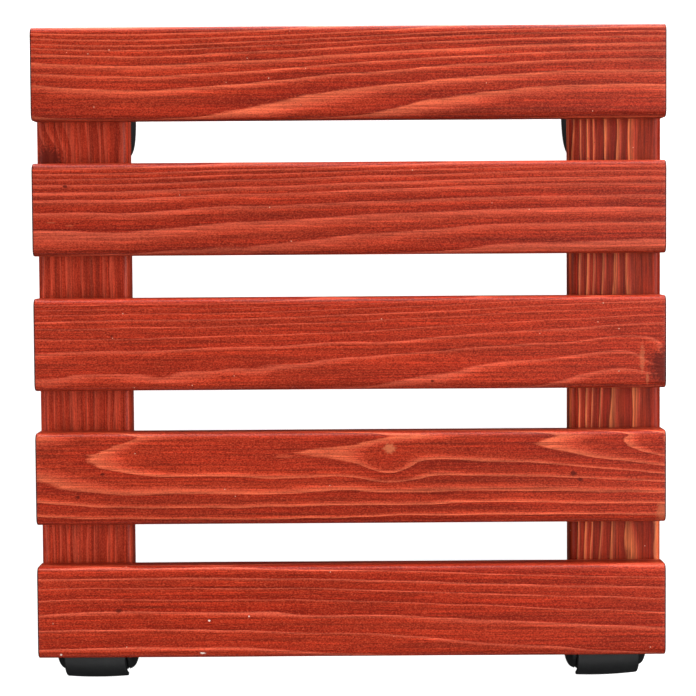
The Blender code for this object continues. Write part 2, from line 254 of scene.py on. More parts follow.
COLLAR_RADIUS = 6 * MM
COLLAR_BOTTOM = 47.2 * MM
COLLAR_TOP = 48.7 * MM
PLATE_SIDE = 38 * MM
PLATE_THICKNESS = 2 * MM
PLATE_CORNER = 5 * MM
PLATE_HOLES = 28 * MM
PLATE_HOLE_RADIUS = 2.2 * MM
STEM_HOLE_RADIUS = 3.8 * MM

# Floor
FLOOR_HALF_SIDE = 4
FLOOR_DROP = 0.2 * MM


def linear(hex_colour):
    """A screen colour such as "b83a26" as the linear red, green, blue and alpha that shader sockets take."""
    values = []
    for place in (0, 2, 4):
        share = int(hex_colour[place : place + 2], 16) / 255
        values.append(share / 12.92 if share <= 0.04045 else ((share + 0.055) / 1.055) ** 2.4)
    return (*values, 1)


def between(first, second, share):
    """The colour this share of the way from the first to the second."""
    return tuple(a + (b - a) * share for a, b in zip(first, second))


class Nodes:
    """Builds one material's node tree."""

    def __init__(self, name):
        self.material = bpy.data.materials.new(name)
        self.material.use_nodes = True
        self.tree = self.material.node_tree
        self.shader = self.tree.nodes["Principled BSDF"]

    def add(self, kind, inputs, **settings):
        """A new node, with its settings made and its inputs linked or set."""
        node = self.tree.nodes.new("ShaderNode" + kind)
        for name, value in settings.items():
            setattr(node, name, value)
        for socket, value in inputs.items():
            self.feed(node.inputs[socket], value)
        return node

    def feed(self, socket, value):
        if isinstance(value, bpy.types.NodeSocket):
            self.tree.links.new(value, socket)
        else:
            socket.default_value = value

    def math(self, operation, first, second=0.0, clamp=False):
        return self.add("Math", {0: first, 1: second}, operation=operation, use_clamp=clamp).outputs[0]

    def scaled(self, vector, factors):
        return self.add("VectorMath", {0: vector, 1: factors}, operation="MULTIPLY").outputs[0]

    def noise(self, vector, scale=1.0, detail=2.0, roughness=0.5):
        inputs = {"Vector": vector, "Scale": scale, "Detail": detail, "Roughness": roughness}
        return self.add("TexNoise", inputs).outputs["Fac"]

    def cells(self, vector, scale):
        """Voronoi cells: the distance to the nearest cell's point, and that cell's random value."""
        node = self.add("TexVoronoi", {"Vector": vector, "Scale": scale})
        shade = self.add("SeparateColor", {"Color": node.outputs["Color"]})
        return node.outputs["Distance"], shade.outputs[0]

    def remap(self, value, low, high, to_low=0.0, to_high=1.0):
        inputs = {"Value": value, "From Min": low, "From Max": high, "To Min": to_low, "To Max": to_high}
        return self.add("MapRange", inputs).outputs["Result"]

    def ramp(self, factor, stops):
        """Colours at places from 0 to 1."""
        node = self.add("ValToRGB", {"Fac": factor})
        elements = node.color_ramp.elements
        while len(elements) < len(stops):
            elements.new(0.5)
        for element, (position, colour) in zip(elements, stops):
            element.position = position
            element.color = colour
        return node.outputs["Color"]

    def mix(self, factor, first, second, blend="MIX"):
        node = self.add("Mix", {"Factor": factor}, data_type="RGBA", blend_type=blend)
        self.feed(node.inputs["A"], first)
        self.feed(node.inputs["B"], second)
        return node.outputs["Result"]

    def tint(self, colour, brightness):
        """The colour times a brightness."""
        grey = self.add("CombineColor", {"Red": brightness, "Green": brightness, "Blue": brightness})
        return self.mix(1.0, colour, grey.outputs[0], "MULTIPLY")

    def bump(self, height, distance, strength=1.0):
        return self.add("Bump", {"Height": height, "Distance": distance, "Strength": strength}).outputs[0]


# Materials


def stained_wood(name, plank):
    """Softwood under a red mahogany stain, with darker end grain where the stain soaked in, and a near-black
    painted shade line along the rounded edge of each end.
    """
    nodes = Nodes(f"stained_wood_{name}")
    grain = nodes.add("Attribute", {}, attribute_name="grain").outputs["Vector"]
    ring = nodes.add("Attribute", {}, attribute_name="ring").outputs["Fac"]
    end = nodes.add("Attribute", {}, attribute_name="end").outputs["Fac"]

    colour, early = growth_rings(nodes, grain, ring, plank)
    blotches = nodes.noise(nodes.scaled(grain, (12, 50, 50)), detail=3)
    colour = nodes.tint(colour, nodes.remap(blotches, 0.25, 0.75, 0.86, 1.12))
    streaks = nodes.noise(nodes.scaled(grain, (8, 900, 900)), detail=2, roughness=0.6)
    colour = nodes.tint(colour, nodes.remap(streaks, 0.3, 0.7, 0.62, 1.38))
    fibres = nodes.noise(nodes.scaled(grain, (60, 1700, 1700)), detail=3, roughness=0.75)
    colour = nodes.tint(colour, nodes.remap(fibres, 0.25, 0.75, 0.48, 1.52))
    colour = with_pores(nodes, colour, grain, early, plank)
    colour = with_spots(nodes, colour, grain, plank)
    colour = with_specks(nodes, colour, grain)
    # Darker end grain where the stain soaks in (0.6 on the end face), plus painted shade: a near-black line
    # (0.95) on the rounded edge round each end
    end_stain_and_shade = nodes.math("MINIMUM", nodes.remap(end, 0, 0.6, 0, 0.95), nodes.remap(end, 0.8, 1, 0.95, 0.6))
    colour = nodes.mix(end_stain_and_shade, colour, linear("2e0502"))
    nodes.feed(nodes.shader.inputs["Base Color"], nodes.tint(colour, plank.tone))

    nodes.shader.inputs["Specular IOR Level"].default_value = 0.17
    roughness = nodes.remap(fibres, 0.2, 0.8, 0.32, 0.46)
    nodes.feed(nodes.shader.inputs["Roughness"], nodes.math("MAXIMUM", roughness, end))
    relief = nodes.math("SUBTRACT", nodes.math("MULTIPLY", fibres, 0.6), nodes.math("MULTIPLY", early, 0.5))
    nodes.feed(nodes.shader.inputs["Normal"], nodes.bump(relief, 0.14 * MM, 0.7))
    return nodes.material


def growth_rings(nodes, grain, ring, plank):
    """The colour of the rings, and a value that is 1 in early wood and 0 in late wood."""
    jitter = nodes.noise(nodes.scaled(grain, (25, 420, 420)), detail=3, roughness=0.6)
    jittered = nodes.math("ADD", ring, nodes.remap(jitter, 0, 1, -0.09, 0.09))
    year = nodes.add("TexWhiteNoise", {"W": nodes.math("FLOOR", jittered)}, noise_dimensions="1D")
    growth = nodes.remap(year.outputs["Value"], 0, 1, 0.65, 1.6)
    phase = nodes.math("POWER", nodes.math("FRACT", jittered), growth)
    crest = between(linear("d85e44"), linear("f08850"), plank.warmth)
    trough = between(linear("881705"), linear("641a04"), plank.warmth)
    early_wood = between(linear("a42c14"), linear("8e2c0e"), plank.warmth)
    rings = nodes.ramp(
        phase,
        (
            (0.0, trough),
            (0.12, linear("96200a")),
            (1 - plank.late_share, early_wood),
            (1 - plank.late_share * 0.7, linear("c2432a")),
            (0.95, crest),
            (1.0, trough),
        ),
    )
    patches = nodes.noise(nodes.scaled(grain, (10, 45, 45)), detail=2)
    clarity = nodes.math("MULTIPLY", nodes.remap(patches, 0.3, 0.65, 0.6, 1.0), plank.contrast, clamp=True)
    colour = nodes.mix(clarity, linear("b2381f"), rings)
    early = nodes.remap(phase, 1 - plank.late_share / 3, 1 - plank.late_share)
    return colour, early


def with_pores(nodes, colour, grain, early, plank):
    """The colour with fine dark pores and pale flecks, the pores mostly in early wood."""
    speckle = nodes.noise(nodes.scaled(grain, (1100, 1800, 1800)), detail=2, roughness=0.85)
    dark_share = nodes.remap(early, 0, 1, 0.4 * plank.speckle, 0.8 * plank.speckle)
    pores = nodes.math("MULTIPLY", nodes.remap(speckle, 0.5, 0.62), dark_share)
    colour = nodes.mix(pores, colour, linear("640d02"))
    pale_share = nodes.remap(early, 0, 1, 0.6 * plank.speckle, 0.4 * plank.speckle)
    flecks = nodes.math("MULTIPLY", nodes.remap(speckle, 0.45, 0.34), pale_share)
    return nodes.mix(flecks, colour, linear("d8603e"))


def with_spots(nodes, colour, grain, plank):
    """The colour with the board's own knots, scuffs and chips."""
    for spots, shade, strength in (
        (plank.knots, "571207", 0.85),
        (plank.scuffs, "d47850", 0.35),
        (plank.chips, "f2dccf", 1.0),
    ):
        for spot in spots:
            inside = nodes.math("MULTIPLY", spot_on_board(nodes, grain, plank, spot), strength)
            colour = nodes.mix(inside, colour, linear(shade))
    return colour


def with_specks(nodes, colour, grain):
    """The colour with a few tiny white and dark specks strewn over it."""
    distance, chance = nodes.cells(grain, 400)
    speck = nodes.math("LESS_THAN", distance, 0.1)
    white = nodes.math("MULTIPLY", speck, nodes.math("GREATER_THAN", chance, 0.972))
    dark = nodes.math("MULTIPLY", speck, nodes.math("LESS_THAN", chance, 0.05))
    colour = nodes.mix(nodes.math("MULTIPLY", white, 0.8), colour, linear("f4c4a8"))
    return nodes.mix(nodes.math("MULTIPLY", dark, 0.7), colour, linear("4c0d08"))


def spot_on_board(nodes, grain, plank, spot):
    """1 inside a ragged spot on the board, fading to 0 outside it."""
    x, y, along, across = spot
    shape = (1 / (along * MM), 1 / (across * MM), 0)
    centre = ((x * MM + plank.seed) * shape[0], y * MM * shape[1], 0)
    distance = nodes.add("VectorMath", {0: nodes.scaled(grain, shape), 1: centre}, operation="DISTANCE")
    ragged = nodes.remap(nodes.noise(grain, 900, 3, 0.6), 0.3, 0.7, -0.35, 0.35)
    return nodes.remap(nodes.math("ADD", distance.outputs["Value"], ragged), 1.15, 0.6)


def moulded_plastic(name, colour, worn_colour, roughness):
    """Black moulded nylon with a fine spark-eroded texture, faint flow marks and light scuffs."""
    nodes = Nodes(name)
    place = nodes.add("TexCoord", {}).outputs["Object"]
    texture = nodes.noise(place, 2600, 2, 0.6)
    clouds = nodes.noise(place, 90, 3)
    scuffs = nodes.noise(nodes.scaled(place, (500, 90, 90)), detail=4, roughness=0.7)
    base = nodes.mix(nodes.remap(clouds, 0.35, 0.7), colour, worn_colour)
    base = nodes.mix(nodes.remap(scuffs, 0.62, 0.8, 0, 0.35), base, linear("4a4a4a"))
    nodes.feed(nodes.shader.inputs["Base Color"], base)
    nodes.feed(nodes.shader.inputs["Roughness"], nodes.remap(scuffs, 0.3, 0.7, roughness, roughness + 0.12))
    nodes.feed(nodes.shader.inputs["Normal"], nodes.bump(texture, 0.06 * MM, 0.5))
    return nodes.material


def zinc_plate():
    """Bright zinc plating with faint crystals, cloudy passivation and fine scratches."""
    nodes = Nodes("zinc_steel")
    place = nodes.add("TexCoord", {}).outputs["Object"]
    _, crystal = nodes.cells(place, 420)
    clouds = nodes.noise(place, 160, 3)
    scratches = nodes.noise(nodes.scaled(place, (2200, 160, 900)), detail=3, roughness=0.7)
    base = nodes.mix(nodes.remap(clouds, 0.3, 0.7), linear("b9bcbd"), linear("a3a29a"))
    base = nodes.tint(base, nodes.remap(crystal, 0, 1, 0.92, 1.05))
    nodes.feed(nodes.shader.inputs["Base Color"], base)
    nodes.shader.inputs["Metallic"].default_value = 1
    nodes.feed(nodes.shader.inputs["Roughness"], nodes.remap(scratches, 0.3, 0.7, 0.26, 0.46))
    nodes.feed(nodes.shader.inputs["Normal"], nodes.bump(scratches, 0.02 * MM, 0.5))
    return nodes.material


# Mesh helpers


def add_piece(name, mesh, matrix, body, node):
    """One visible piece, in place of a CAD node, riding on its body."""
    piece = bpy.data.objects.new(name, mesh)
    bpy.context.scene.collection.objects.link(piece)
    piece.matrix_world = matrix
    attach(piece, body)
    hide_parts(node)
    return piece


def mesh_from(shape, name):
    """The bmesh as a mesh, facing out."""
    bmesh.ops.recalc_face_normals(shape, faces=shape.faces)
    mesh = bpy.data.meshes.new(name)
    shape.to_mesh(mesh)
    shape.free()
    return mesh


def smooth(mesh, material, sharp_degrees=35):
    """The mesh in one material, shaded smooth but for edges sharper than this."""
    mesh.materials.clear()
    mesh.materials.append(material)
    mesh.shade_smooth()
    mesh.set_sharp_from_angle(angle=math.radians(sharp_degrees))
    return mesh


def rounded(points, steps=4):
    """The outline with each corner made an arc. A point is (x, y) or (x, y, corner radius)."""
    outline = []
    count = len(points)
    for index, point in enumerate(points):
        here = Vector(point[:2])
        radius = point[2] if len(point) == 3 else 0
        if not radius:
            outline.append(tuple(here))
            continue
        back = (Vector(points[index - 1][:2]) - here).normalized()
        ahead = (Vector(points[(index + 1) % count][:2]) - here).normalized()
        half = back.angle(ahead) / 2
        centre = here + (back + ahead).normalized() * radius / math.sin(half)
        start = here + back * radius / math.tan(half) - centre
        end = here + ahead * radius / math.tan(half) - centre
        for step in range(steps + 1):
            spoke = start.lerp(end, step / steps).normalized() * radius
            outline.append(tuple(centre + spoke))
    return outline


def turned(name, profile, facets):
    """A solid turned round Z. The profile's (radius, z) points start and end on the axis."""
    shape = bmesh.new()
    rings = []
    for radius, z in profile:
        count = facets if radius > 0 else 1
        angles = [math.tau * (step + 0.5) / facets for step in range(count)]
        rings.append([shape.verts.new((radius * math.cos(a), radius * math.sin(a), z)) for a in angles])
    for lower, upper in zip(rings, rings[1:]):
        for step in range(facets):
            after = (step + 1) % facets
            corners = [lower[step % len(lower)], lower[after % len(lower)]]
            corners += [upper[after % len(upper)], upper[step % len(upper)]]
            shape.faces.new(dict.fromkeys(corners))
    return mesh_from(shape, name)


def prism_along_x(name, outline, half_width):
    """A solid with this outline of (y, z) points, from -half_width to half_width along X."""
    shape = bmesh.new()
    cap = shape.faces.new([shape.verts.new((-half_width, y, z)) for y, z in outline])
    extruded = bmesh.ops.extrude_face_region(shape, geom=[cap])["geom"]
    far = [item for item in extruded if isinstance(item, bmesh.types.BMVert)]
    bmesh.ops.translate(shape, verts=far, vec=(2 * half_width, 0, 0))
    return mesh_from(shape, name)


def cylinder(name, radius, bottom, top, facets=48):
    return turned(name, [(0, bottom), (radius, bottom), (radius, top), (0, top)], facets)


def arc_points(centre, radius, start_degrees, end_degrees, steps):
    """Points on an arc, with angles counted from the first axis towards the second."""
    points = []
    for step in range(steps + 1):
        angle = math.radians(start_degrees + (end_degrees - start_degrees) * step / steps)
        points.append((centre[0] + radius * math.cos(angle), centre[1] + radius * math.sin(angle)))
    return points


def combine(mesh, tools, operation, bevel=0.0):
    """The mesh with these (mesh, matrix) tools joined to it or cut from it, and its sharp edges eased."""
    target = bpy.data.objects.new("target", mesh)
    bpy.context.scene.collection.objects.link(target)
    helpers = []
    for tool, matrix in tools:
        helper = bpy.data.objects.new("helper", tool)
        bpy.context.scene.collection.objects.link(helper)
        helper.matrix_world = matrix
        helpers.append(helper)
        modifier = target.modifiers.new(operation, "BOOLEAN")
        modifier.operation = operation
        modifier.solver = "EXACT"
        modifier.object = helper
    if bevel:
        easing = target.modifiers.new("ease", "BEVEL")
        easing.width = bevel
        easing.segments = 2
        easing.limit_method = "ANGLE"
        easing.angle_limit = math.radians(40)
    graph = bpy.context.evaluated_depsgraph_get()
    result = bpy.data.meshes.new_from_object(target.evaluated_get(graph))
    for helper in (*helpers, target):
        bpy.data.objects.remove(helper)
    return result


# Boards


def section_points():
    """The board's section as rows of (share across, share up, cosine, sine).

    The shares place a point on the flats and the other two turn it round an edge, so that one list serves
    any width, thickness and edge radius."""
    flats = (
        (1, 1, -1, 1, 90, TOP_SEGMENTS),
        (-1, 1, -1, -1, 180, SIDE_SEGMENTS),
        (-1, -1, 1, -1, 270, BOTTOM_SEGMENTS),
        (1, -1, 1, 1, 360, SIDE_SEGMENTS),
    )
    rows = []
    for y0, z0, y1, z1, degrees, segments in flats:
        for step in range(segments):
            share = step / segments
            angle = math.radians(degrees)
            rows.append((y0 + (y1 - y0) * share, z0 + (z1 - z0) * share, math.cos(angle), math.sin(angle)))
        for step in range(CORNER_SEGMENTS):
            angle = math.radians(degrees + 90 * step / CORNER_SEGMENTS)
            rows.append((y1, z1, math.cos(angle), math.sin(angle)))
    return np.array(rows)


def row_places(length):
    """Where the rows lie along the board, and how far each is drawn in by the rounding of the ends."""
    half = length / 2
    inner = half - END_RADIUS
    middle = np.linspace(-inner, inner, round(2 * inner / ROW_SPACING) + 1)
    angles = np.linspace(0, math.pi / 2, END_ROWS + 1)[:-1]
    end_x = half - END_RADIUS * (1 - np.cos(angles))
    end_inset = END_RADIUS * (1 - np.sin(angles))
    places = np.concatenate([-end_x, middle, end_x[::-1]])
    insets = np.concatenate([end_inset, np.zeros(len(middle)), end_inset[::-1]])
    return places, insets


def wave(x, seed, length):
    """Smooth noise along a board, from -1 to 1."""
    return noise.noise(Vector((x / length, seed, 0.5)))


def board_mesh(name, length, width, thickness, plank):
    """A planed board along X, centred on its own middle, with slightly uneven rounded edges."""
    section = section_points()
    shape = bmesh.new()
    loops = []
    for x, inset in zip(*row_places(length)):
        radius = EDGE_RADIUS * (1 + 0.12 * wave(x, plank.seed, 40 * MM))
        half_width = width / 2 - inset - SURFACE_WAVE * (0.5 + 0.5 * wave(x, plank.seed + 1, 70 * MM))
        half_height = thickness / 2 - inset
        loop = []
        for across, up, cosine, sine in section:
            y = across * (half_width - radius) + radius * cosine
            z = up * (half_height - radius) + radius * sine
            loop.append(shape.verts.new((x, y, z)))
        loops.append(loop)
    for left, right in zip(loops, loops[1:]):
        bridge(shape, left, right)
    cap(shape, loops[0])
    cap(shape, loops[-1])
    return mesh_from(shape, name)


def bridge(shape, first, second):
    for index in range(len(first)):
        shape.faces.new((first[index - 1], first[index], second[index], second[index - 1]))


def cap(shape, rim):
    """Closes a board's end with loops that shrink to its middle, so that the end grain has points."""
    x = rim[0].co.x
    outer = rim
    for step in range(1, CAP_LOOPS):
        share = 1 - step / CAP_LOOPS
        inner = [shape.verts.new((x, vert.co.y * share, vert.co.z * share)) for vert in rim]
        bridge(shape, outer, inner)
        outer = inner
    middle = shape.verts.new((x, 0, 0))
    for index in range(len(outer)):
        shape.faces.new((outer[index - 1], outer[index], middle))


def ring_numbers(points, thickness, plank):
    """Which growth ring each point lies in, counted from the first and with its share of the way through."""
    x, y, z = points.T / MM
    ends = np.linspace(-150, 150, len(plank.pith_depths))
    depth = np.polyval(np.polyfit(ends, plank.pith_depths, len(plank.pith_depths) - 1), x)
    across = np.interp(x, (-150, 150), plank.pith_across)
    radius = np.hypot(y - across, z - thickness / MM / 2 + depth)
    widths = np.array(plank.ring_widths)
    radii = plank.first_ring + np.concatenate([[0], np.cumsum(widths)])
    numbers = np.interp(radius, radii, np.arange(len(radii)))
    numbers += np.minimum(radius - radii[0], 0) / widths[0]
    numbers += np.maximum(radius - radii[-1], 0) / widths[-1]
    for centre_x, centre_y, reach_x, reach_y, rings in plank.swellings:
        numbers += rings * np.exp(-(((x - centre_x) / reach_x) ** 2) - ((y - centre_y) / reach_y) ** 2)
    wander = [
        noise.noise(Vector((px / 42 + plank.seed, py / 11, pz / 11)))
        + 0.35 * noise.noise(Vector((px / 16 + plank.seed, py / 4, pz / 4)))
        for px, py, pz in zip(x, y, z)
    ]
    return numbers + plank.wobble * np.array(wander)


def store(mesh, name, values):
    kind, key = ("FLOAT_VECTOR", "vector") if values.ndim == 2 else ("FLOAT", "value")
    attribute = mesh.attributes.new(name, kind, "POINT")
    attribute.data.foreach_set(key, values.astype(np.float32).ravel())


def grow_wood(mesh, length, thickness, plank):
    """Gives the board's points what the wood material reads: place, growth ring and nearness to an end."""
    points = np.empty(len(mesh.vertices) * 3, np.float32)
    mesh.vertices.foreach_get("co", points)
    points = points.reshape(-1, 3).astype(float)
    store(mesh, "grain", points + (plank.seed, 0, 0))
    store(mesh, "ring", ring_numbers(points, thickness, plank))
    from_end = length / 2 - np.abs(points[:, 0])
    store(mesh, "end", 1 - np.clip(from_end / END_RADIUS, 0, 1))


def make_board(node, screws):
    """One slat or rail, with countersunk seats for any screws that enter it from beneath."""
    plank = PLANKS[node]
    low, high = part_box(node)
    centre = (low + high) / 2
    size = high - low
    matrix = Matrix.Translation(centre)
    length, width = size.x, size.y
    if node in RAILS:
        matrix = matrix @ Matrix.Rotation(math.pi / 2, 4, "Z")
        length, width = size.y, size.x
    mesh = board_mesh(node + "_timber", length, width, size.z, plank)
    if screws:
        mesh = combine(mesh, [(tool, matrix.inverted() @ place) for tool, place in screws], "DIFFERENCE")
        mesh.name = node + "_timber"
    grow_wood(mesh, length, size.z, plank)
    smooth(mesh, stained_wood(node, plank), 50)
    add_piece(node + "_timber", mesh, matrix, PLATFORM, node)


# Screws


def threaded(radius, bottom, top):
    """(radius, z) points of a shank whose ridges shrink to its point at the top."""
    points = []
    z = bottom
    while z < top - THREAD_PITCH:
        reach = min(1, (top - z) / SCREW_TIP)
        points.append(((radius - THREAD_DEPTH) * reach, z))
        points.append((radius * reach, z + THREAD_PITCH / 2))
        z += THREAD_PITCH
    return points + [(0, top)]


def cross_recess(radius, bottom):
    """The cutter for a driver's cross: two tapered blades, crossing on the axis."""
    blades = []
    for turn in (0, math.pi / 2):
        outline = [
            (-radius * 0.62, bottom - MM),
            (radius * 0.62, bottom - MM),
            (radius * 0.2, bottom + RECESS_DEPTH),
            (-radius * 0.2, bottom + RECESS_DEPTH),
        ]
        blades.append((prism_along_x("blade", outline, RECESS_HALF_WIDTH), Matrix.Rotation(turn, 4, "Z")))
    return blades


def slat_screw_mesh(zinc):
    """A countersunk screw, head down, with its foot at Z = 0."""
    low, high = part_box("slat_screw_3_left")
    head = (high.x - low.x) / 2
    shank = head / 2
    length = high.z - low.z
    thread = length * 0.4
    profile = [(0, 0), (head - 0.15 * MM, 0), (head, 0.2 * MM), (shank, COUNTERSINK_DEPTH)]
    profile += [(shank, thread)] + threaded(shank, thread + 0.3 * MM, length)
    mesh = turned("slat_screw", profile, SCREW_FACETS)
    return smooth(combine(mesh, cross_recess(head, 0), "DIFFERENCE"), zinc)


def plate_screw_mesh(zinc):
    """A pan-head screw, head down, with its foot at Z = 0."""
    low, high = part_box("plate_screw_front_left_a")
    head = (high.x - low.x) / 2
    seat, shank = PAN_HEAD_HEIGHT, PAN_SHANK_RADIUS
    pan = [(0, 0), (head * 0.7, 0, 1.0 * MM), (head, 1.0 * MM, 0.6 * MM), (head, seat), (0, seat)]
    profile = rounded(pan)[:-1] + [(shank, seat), (shank, seat + MM)]
    profile += threaded(shank, seat + 1.2 * MM, high.z - low.z)
    mesh = turned("plate_screw", profile, SCREW_FACETS)
    return smooth(combine(mesh, cross_recess(head, 0), "DIFFERENCE"), zinc)


def countersinks(rail):
    """Cutters for the five screws that pass up through one rail."""
    side = rail.split("_")[1]
    tools = []
    for number in range(1, 6):
        low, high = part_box(f"slat_screw_{number}_{side}")
        head = (high.x - low.x) / 2 + COUNTERSINK_GAP
        below, depth = -2 * MM, COUNTERSINK_DEPTH
        profile = [(0, below), (head, below), (head, 0), (head - 2.4 * MM, depth), (0, depth)]
        place = Matrix.Translation(((low.x + high.x) / 2, (low.y + high.y) / 2, low.z))
        tools.append((turned("countersink", profile, 48), place))
    return tools


def make_screws(zinc):
    slat_screw = slat_screw_mesh(zinc)
    plate_screw = plate_screw_mesh(zinc)
    for node in frame["nodes"]:
        if "_screw_" not in node:
            continue
        low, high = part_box(node)
        place = Matrix.Translation(((low.x + high.x) / 2, (low.y + high.y) / 2, low.z))
        turn = Matrix.Rotation(math.radians(37 * len(node) + 53 * ord(node[-1])), 4, "Z")
        mesh = slat_screw if node.startswith("slat") else plate_screw
        add_piece(node + "_zinc", mesh, place @ turn, PLATFORM, node)


# Castors


def hood_shell():
    """The curved cover over both wheels: crowned across its width, with a rounded rim all round."""
    shape = bmesh.new()
    loops = []
    angles = np.linspace(-math.pi / 2, math.pi / 2, HOOD_STEPS + 1)
    for x in np.sin(angles) * HOOD_HALF_WIDTH:
        from_side = min(HOOD_LIP, HOOD_HALF_WIDTH - abs(x))
        inset = HOOD_LIP - math.sqrt(HOOD_LIP**2 - (HOOD_LIP - from_side) ** 2)
        drop = HOOD_CROWN * (x / HOOD_HALF_WIDTH) ** 2
        outer = HOOD_OUTER_RADIUS - drop - inset
        inner = HOOD_INNER_RADIUS - drop / 2 + min(inset, 0.8 * HOOD_LIP)
        trim = math.degrees(inset / HOOD_OUTER_RADIUS)
        first, last = HOOD_FRONT_DEGREES + trim, HOOD_BACK_DEGREES - trim
        outline = arc_points((-TRAIL, AXLE_Z), outer, first, last, HOOD_STEPS)
        middle = (outer + inner) / 2
        half = (outer - inner) / 2
        outline += end_round(middle, half, last, 1)
        outline += arc_points((-TRAIL, AXLE_Z), inner, last, first, HOOD_STEPS)
        outline += end_round(middle, half, first, -1)
        loops.append([shape.verts.new((x, y, z)) for y, z in outline])
    for left, right in zip(loops, loops[1:]):
        bridge(shape, left, right)
    shape.faces.new(loops[0])
    shape.faces.new(loops[-1])
    return mesh_from(shape, "castor_hood")


def end_round(middle, half, degrees, way):
    """Points round the shell's end, from its outer face to its inner one for way 1, or back for way -1."""
    angle = math.radians(degrees)
    radial = Vector((math.cos(angle), math.sin(angle)))
    onward = Vector((-math.sin(angle), math.cos(angle))) * way
    points = []
    for step in (1, 2, 3):
        turn = math.pi * step / 4
        spot = radial * (middle + way * half * math.cos(turn)) + onward * half * math.sin(turn) * 0.6
        points.append((spot.x - TRAIL, spot.y + AXLE_Z))
    return points


def hood_mesh(plastic):
    """The castor's body: the shell, with the web inside it that carries the axle and the stem's socket."""
    axle = (-TRAIL, AXLE_Z)
    middle = (HOOD_OUTER_RADIUS + HOOD_INNER_RADIUS) / 2
    outline = arc_points(axle, middle, 40, 165, 32)
    outline += arc_points(axle, WEB_HUB_RADIUS, 180, 290, 16)
    outline += [(0, SOCKET_BOTTOM), (3 * MM, SOCKET_BOTTOM + 2.5 * MM)]
    web = combine(prism_along_x("web", outline, WEB_HALF_WIDTH), [], "UNION", 0.4 * MM)
    socket = turned("socket", rounded_rod(SOCKET_RADIUS, SOCKET_BOTTOM, SOCKET_TOP, 0.5 * MM), 64)
    boss = turned("boss", rounded_rod(BOSS_RADIUS, BOSS_BOTTOM, BOSS_TOP, 0.6 * MM), 64)
    whole = combine(hood_shell(), [(part, Matrix()) for part in (web, socket, boss)], "UNION")
    stem_bore = cylinder("stem_bore", STEM_RADIUS + STEM_BORE_GAP, STEM_BORE_BOTTOM, CASTOR_HEIGHT)
    across = Matrix.Translation((0, -TRAIL, AXLE_Z)) @ Matrix.Rotation(math.pi / 2, 4, "Y")
    axle_bore = cylinder("axle_bore", AXLE_BORE_RADIUS, -2 * HOOD_HALF_WIDTH, 2 * HOOD_HALF_WIDTH)
    whole = combine(whole, [(stem_bore, Matrix()), (axle_bore, across)], "DIFFERENCE")
    return smooth(whole, plastic, 30)


def rounded_rod(radius, bottom, top, ease):
    """(radius, z) points of a rod with eased ends, from axis to axis."""
    return rounded([(0, bottom), (radius, bottom, ease), (radius, top, ease), (0, top)])


def wheel_profile():
    """One disc of the twin wheel, from the middle of its domed face to the bottom of its bore."""
    dome = []
    for step in range(WHEEL_DOME_STEPS + 1):
        share = math.sin(math.pi / 2 * step / WHEEL_DOME_STEPS) ** 0.6
        height = WHEEL_DOME_HEIGHT * math.sqrt(max(0, 1 - share**6))
        dome.append((share * (WHEEL_RADIUS - 0.25 * MM), WHEEL_DOME_FOOT + height))
    dome = [point for point in dome if point[1] > WHEEL_DOME_RIM]
    inner = rounded(
        [
            (19.8 * MM, 16.1 * MM),
            (18.3 * MM, 16.0 * MM, 0.3 * MM),
            (18.3 * MM, 15.3 * MM, 0.3 * MM),
            (WHEEL_RADIUS, 15.2 * MM, 0.4 * MM),
            (WHEEL_RADIUS, WHEEL_INNER_FACE, 0.9 * MM),
            (16.8 * MM, WHEEL_INNER_FACE, 0.4 * MM),
            (15.6 * MM, WHEEL_WEB_FACE, 0.6 * MM),
            (WHEEL_HUB_RADIUS, WHEEL_WEB_FACE, 0.6 * MM),
            (WHEEL_HUB_RADIUS, WHEEL_INNER_FACE, 0.4 * MM),
            (WHEEL_BORE_RADIUS, WHEEL_INNER_FACE, 0.3 * MM),
            (WHEEL_BORE_RADIUS, WHEEL_BORE_END),
            (0, WHEEL_BORE_END),
        ]
    )
    return dome + inner


def wheel_mesh(plastic):
    """The wheel disc with its ribs, turned so that its axle lies along X and its dome faces +X."""
    mesh = turned("castor_wheel", wheel_profile(), 96)
    outline = [(-0.55 * MM, 7.4 * MM), (0.55 * MM, 7.4 * MM), (0.7 * MM, 14 * MM), (-0.7 * MM, 14 * MM)]
    outward = Matrix.Translation((RIB_MIDDLE_RADIUS, 0, 0))
    ribs = []
    for index in range(WHEEL_RIBS):
        spoke = Matrix.Rotation(math.tau * index / WHEEL_RIBS, 4, "Z")
        ribs.append((prism_along_x("rib", outline, RIB_HALF_LENGTH), spoke @ outward))
    mesh = combine(mesh, ribs, "UNION")
    mesh.transform(Matrix.Rotation(math.pi / 2, 4, "Y"))
    return smooth(mesh, plastic, 30)


def plate_mesh(zinc):
    """The square steel plate, with its corners round and its edges eased, and holes for screws and stem."""
    half = PLATE_SIDE / 2
    corners = [(-half, -half), (half, -half), (half, half), (-half, half)]
    outline = rounded([(*corner, PLATE_CORNER) for corner in corners], 10)
    middle = CASTOR_HEIGHT - PLATE_THICKNESS / 2
    low, high = middle - 10 * MM, middle + 10 * MM
    blank = prism_along_x("plate", outline, PLATE_THICKNESS / 2)
    blank.transform(Matrix.Rotation(-math.pi / 2, 4, "Y"))
    blank.transform(Matrix.Translation((0, 0, middle)))
    cutters = [(cylinder("stem_hole", STEM_HOLE_RADIUS, low, high), Matrix())]
    for x in (-1, 1):
        for y in (-1, 1):
            place = Matrix.Translation((x * PLATE_HOLES / 2, y * PLATE_HOLES / 2, 0))
            cutters.append((cylinder("screw_hole", PLATE_HOLE_RADIUS, low, high, SCREW_FACETS), place))
    return smooth(combine(blank, cutters, "DIFFERENCE", 0.25 * MM), zinc, 30)


